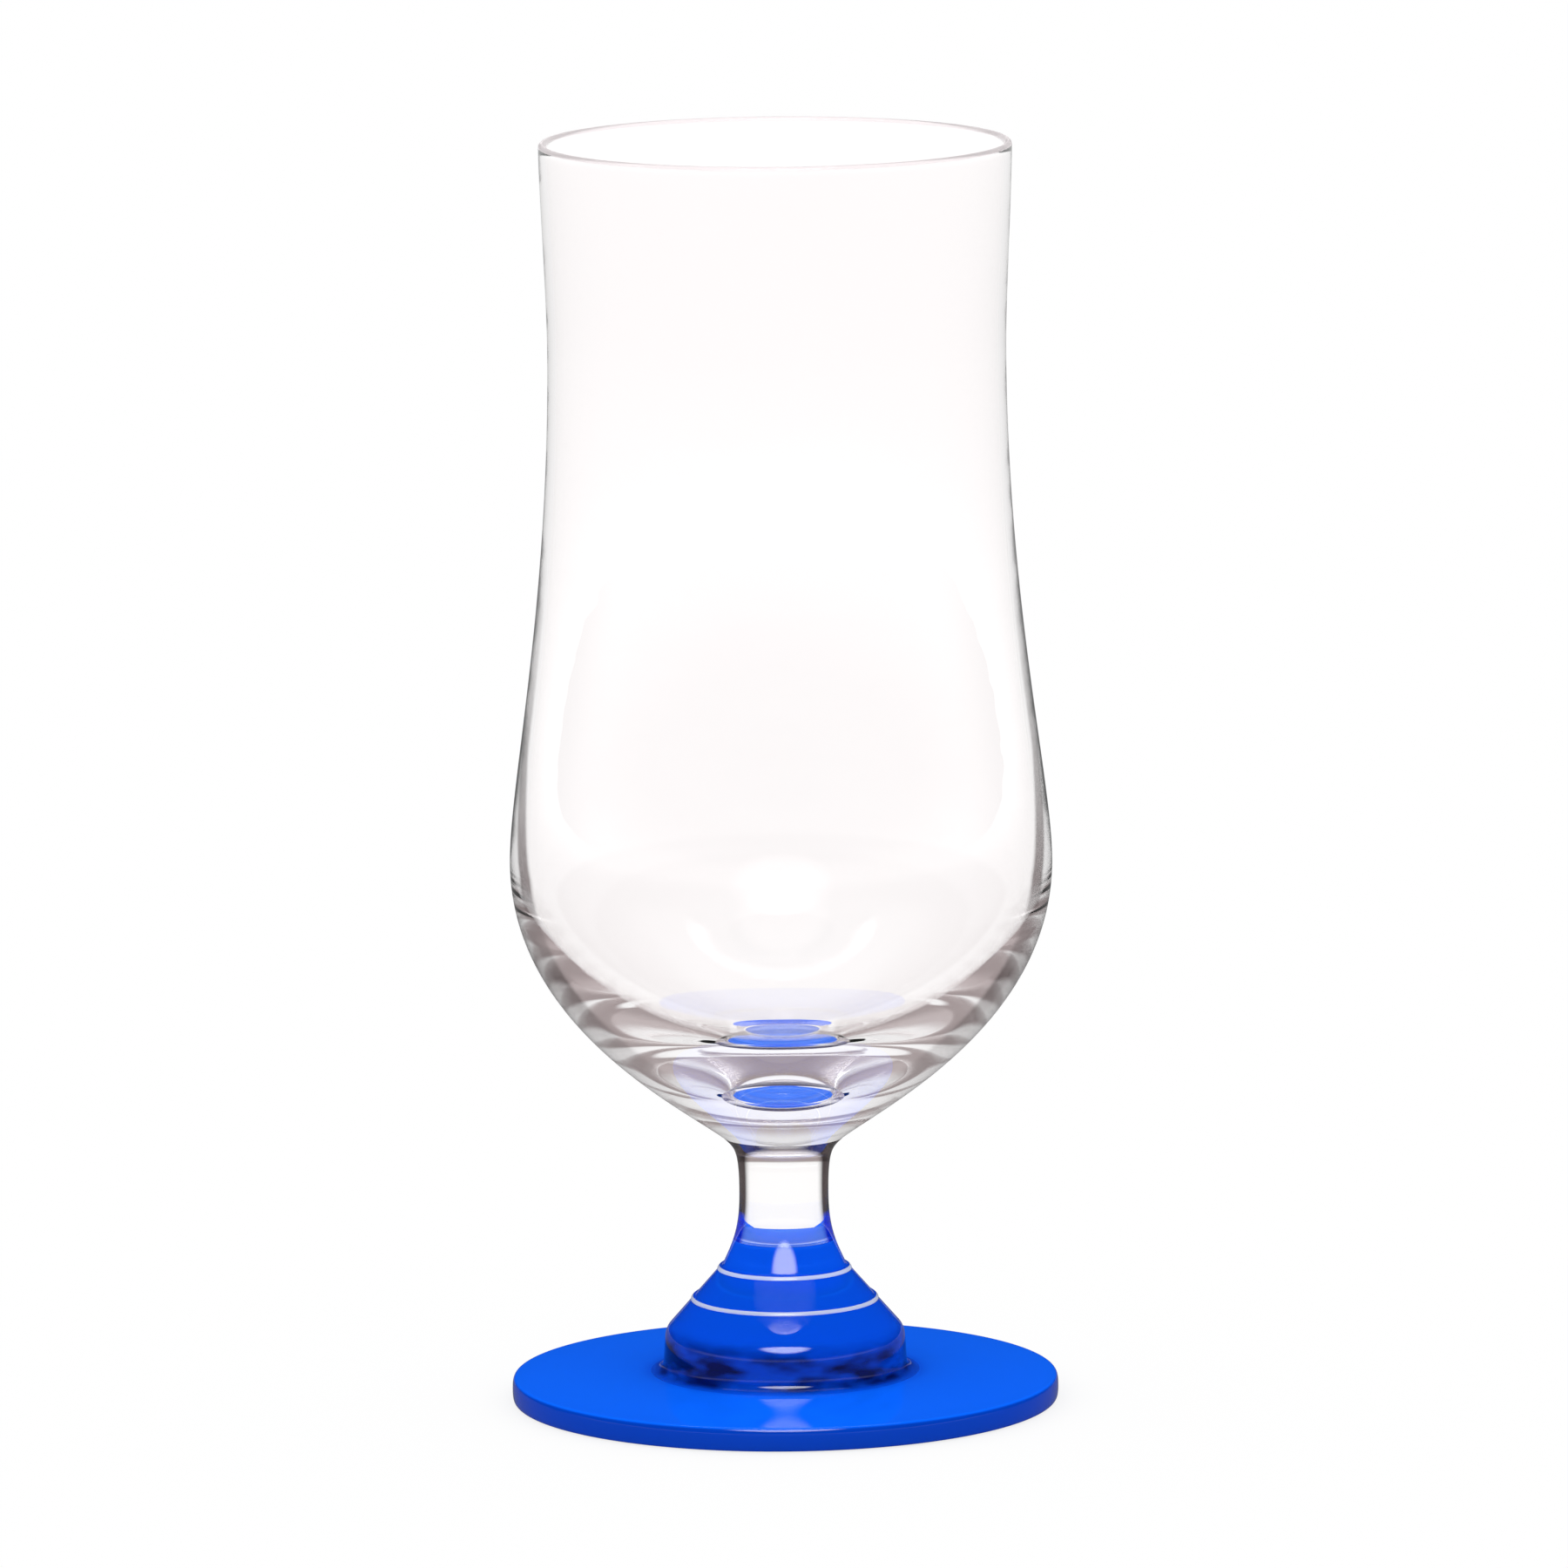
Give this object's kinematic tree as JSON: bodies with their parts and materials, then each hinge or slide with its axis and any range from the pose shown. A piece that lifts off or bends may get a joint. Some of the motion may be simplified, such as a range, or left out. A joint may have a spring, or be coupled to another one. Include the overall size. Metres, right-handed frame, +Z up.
{
  "type": "hurricane glass",
  "caption": "Tall clear hurricane glass with a waisted bowl and rounded belly, on a short solid stem fused into a round blue foot.",
  "frame": {"origin": "on the table under the middle of the foot", "axes": "+Z up along the axis of the glass, from the foot to the rim; X and Y lie in the table"},
  "size_m": [0.0822, 0.0822, 0.19],
  "materials": {
    "clear_glass": "clear, fire polished",
    "blue_glass": "blue through the body, polished"
  },
  "bodies": {
    "root": {"bowl": "clear_glass", "stem": "clear_glass", "foot": "blue_glass"}
  },
  "joints": []
}
